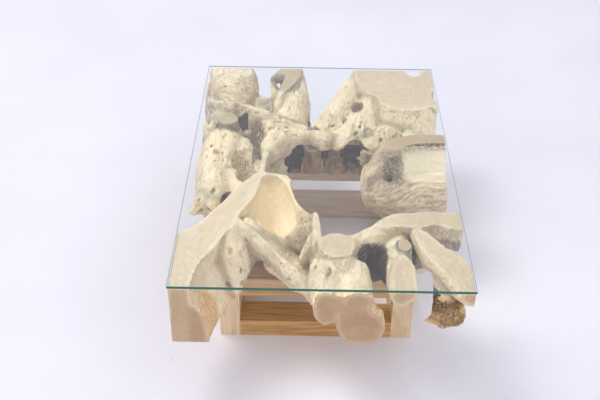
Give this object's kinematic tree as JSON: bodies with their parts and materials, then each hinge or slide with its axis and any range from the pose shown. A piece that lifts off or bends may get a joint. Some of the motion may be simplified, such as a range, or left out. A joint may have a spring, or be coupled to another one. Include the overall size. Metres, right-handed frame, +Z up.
{
  "type": "teak root coffee table",
  "caption": "Low coffee table: a flat glass top on a sawn block of teak roots, carried by a box frame of teak timbers.",
  "frame": {"origin": "on the floor, under the middle of the glass", "axes": "+X to the right seen from the front, +Y to the back along the long side, +Z up"},
  "size_m": [0.8, 1.2, 0.42],
  "materials": {
    "root_wood": "sanded bare teak sapwood",
    "grained_root_wood": "sanded teak with dark swirling grain",
    "dark_root_wood": "rough weathered heartwood",
    "frame_timber": "planed bare teak",
    "dowel_wood": "plain turned hardwood",
    "table_glass": "clear with polished green edges",
    "clear_pad": "clear soft pad",
    "steel": "zinc plated"
  },
  "bodies": {
    "base": {"glass_pads": "clear_pad", "root_dowels": "dowel_wood", "coach_screws": "steel", "screw_washers": "steel", "front_left_root": "root_wood", "front_centre_root": "root_wood", "front_right_root": "root_wood", "corner_root": "root_wood", "right_front_root": "root_wood", "right_root": "grained_root_wood", "back_right_root": "root_wood", "back_left_limb": "root_wood", "back_left_root": "root_wood", "left_tail_root": "root_wood", "left_root": "root_wood", "left_knob_root": "root_wood", "trunk_heart": "dark_root_wood", "front_left_post": "frame_timber", "front_right_post": "frame_timber", "back_left_post": "frame_timber", "back_right_post": "frame_timber", "front_lower_rail": "frame_timber", "front_upper_rail": "frame_timber", "back_lower_rail": "frame_timber", "back_upper_rail": "frame_timber", "left_lower_rail": "frame_timber", "left_upper_rail": "frame_timber", "right_lower_rail": "frame_timber", "right_upper_rail": "frame_timber"},
    "glass": {"glass_top": "table_glass"}
  },
  "joints": [
    {"name": "glass_lift", "type": "slide", "parent": "base", "child": "glass", "axis": [0, 0, 1], "range_m": [0, 0.15]}
  ]
}
